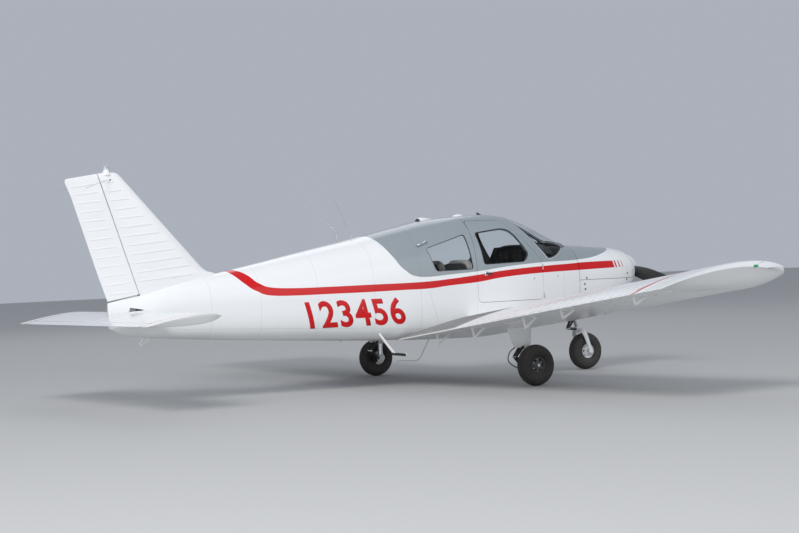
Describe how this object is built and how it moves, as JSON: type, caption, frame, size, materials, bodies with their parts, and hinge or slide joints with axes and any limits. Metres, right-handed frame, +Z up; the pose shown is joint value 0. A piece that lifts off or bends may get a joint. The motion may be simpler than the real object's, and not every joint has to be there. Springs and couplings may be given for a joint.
{
  "type": "light aircraft",
  "caption": "Low-wing, single-engine light aircraft with a hollow four-seat cabin, a side door, fixed nose-wheel landing gear and moving control surfaces.",
  "frame": {"origin": "on the ground, at the middle of the aircraft's length and width", "axes": "+X to the aircraft's left along the span, +Y aft, so that the nose points along -Y, +Z up"},
  "size_m": [9.1448, 7.05, 2.3683],
  "materials": {
    "wing_skin": "gloss white paint on aluminium sheet",
    "body_paint": "gloss white paint",
    "top_paint": "gloss grey-blue paint",
    "panel_glass": "clear acrylic",
    "cabin_lining": "dark matt lining",
    "seat_cloth": "dark woven cloth",
    "engine_metal": "plain cast metal",
    "propeller_paint": "matt black paint",
    "leg_metal": "white painted steel",
    "firewall_metal": "bare sheet",
    "tyre": "black rubber",
    "rim": "white painted cast wheel",
    "lamp_red": "red lens",
    "aerial_metal": "bare steel rod"
  },
  "bodies": {
    "airframe": {"belly": "body_paint", "cabin_floor": "cabin_lining", "side_left": "body_paint", "side_right": "body_paint", "cabin_top": "top_paint", "windshield_left": "panel_glass", "windshield_right": "panel_glass", "window_left_front": "panel_glass", "window_left_rear": "panel_glass", "window_right_rear": "panel_glass", "firewall": "firewall_metal", "bulkhead": "cabin_lining", "tail_cone": "wing_skin", "tail_fairing": "wing_skin", "cowl_upper": "top_paint", "cowl_lower": "body_paint", "engine_block": "engine_metal", "wing_left": "wing_skin", "wing_right": "wing_skin", "fin": "wing_skin", "beacon": "lamp_red", "main_leg_left": "leg_metal", "main_leg_right": "leg_metal", "nose_strut": "leg_metal", "seat_left": "seat_cloth", "seat_right": "seat_cloth", "rear_bench": "seat_cloth", "instrument_panel": "cabin_lining", "roof_vent": "wing_skin", "aerial_front": "aerial_metal", "aerial_rear": "aerial_metal", "step": "leg_metal", "tail_ring": "leg_metal"},
    "propeller": {"propeller": "propeller_paint", "spinner": "wing_skin"},
    "cabin_door": {"door": "body_paint", "door_window": "panel_glass"},
    "rudder": {"rudder": "wing_skin"},
    "stabilator": {"stabilator": "wing_skin"},
    "stabilator_tab": {"stabilator_tab": "wing_skin"},
    "flap_left": {"flap_left": "wing_skin"},
    "flap_right": {"flap_right": "wing_skin"},
    "aileron_left": {"aileron_left": "wing_skin"},
    "aileron_right": {"aileron_right": "wing_skin"},
    "nose_fork": {"nose_fork": "leg_metal"},
    "nose_wheel": {"nose_tyre": "tyre", "nose_rim": "rim"},
    "main_wheel_left": {"main_left_tyre": "tyre", "main_left_rim": "rim"},
    "main_wheel_right": {"main_right_tyre": "tyre", "main_right_rim": "rim"}
  },
  "joints": [
    {"name": "propeller_spin", "type": "hinge", "parent": "airframe", "child": "propeller", "pos_m": [0, -3.356, 1.149], "axis": [0, 1, 0], "continuous": true},
    {"name": "door_swing", "type": "hinge", "parent": "airframe", "child": "cabin_door", "pos_m": [-0.572, -1.738, 1.05], "axis": [0, 0, 1], "range_deg": [0, 75]},
    {"name": "rudder_turn", "type": "hinge", "parent": "airframe", "child": "rudder", "pos_m": [0, 2.832, 1.1], "axis": [0, 0.3194, 0.9476], "range_deg": [-27, 27]},
    {"name": "stabilator_pitch", "type": "hinge", "parent": "airframe", "child": "stabilator", "pos_m": [0, 2.889, 0.868], "axis": [1, 0, 0], "range_deg": [0, 20]},
    {"name": "tab_pitch", "type": "hinge", "parent": "stabilator", "child": "stabilator_tab", "pos_m": [0, 3.334, 0.83298], "axis": [1, 0, 0], "range_deg": [0, 15]},
    {"name": "flap_left_down", "type": "hinge", "parent": "airframe", "child": "flap_left", "pos_m": [-0.00497, -0.221, 0.4865], "axis": [-0.9925, 0, -0.1219], "range_deg": [0, 40]},
    {"name": "flap_right_down", "type": "hinge", "parent": "airframe", "child": "flap_right", "pos_m": [0.00497, -0.221, 0.4865], "axis": [-0.9925, 0, 0.1219], "range_deg": [0, 40]},
    {"name": "aileron_left_up", "type": "hinge", "parent": "airframe", "child": "aileron_left", "pos_m": [-0.00497, -0.221, 0.4865], "axis": [0.9925, 0, 0.1219], "range_deg": [-15, 30]},
    {"name": "aileron_right_up", "type": "hinge", "parent": "airframe", "child": "aileron_right", "pos_m": [0.00497, -0.221, 0.4865], "axis": [0.9925, 0, -0.1219], "range_deg": [-15, 30]},
    {"name": "nose_steer", "type": "hinge", "parent": "airframe", "child": "nose_fork", "pos_m": [0, -2.724, 0.21], "axis": [0, 0.342, 0.9397], "range_deg": [-30, 30]},
    {"name": "nose_wheel_spin", "type": "hinge", "parent": "nose_fork", "child": "nose_wheel", "pos_m": [0, -2.724, 0.21], "axis": [1, 0, 0], "continuous": true},
    {"name": "main_left_spin", "type": "hinge", "parent": "airframe", "child": "main_wheel_left", "pos_m": [1.524, -0.856, 0.21], "axis": [1, 0, 0], "continuous": true},
    {"name": "main_right_spin", "type": "hinge", "parent": "airframe", "child": "main_wheel_right", "pos_m": [-1.524, -0.856, 0.21], "axis": [1, 0, 0], "continuous": true}
  ],
  "couplings": [
    {"joint": "tab_pitch", "follows": "stabilator_pitch", "ratio": 0.75},
    {"joint": "flap_right_down", "follows": "flap_left_down", "ratio": 1},
    {"joint": "nose_steer", "follows": "rudder_turn", "ratio": -1.11}
  ]
}
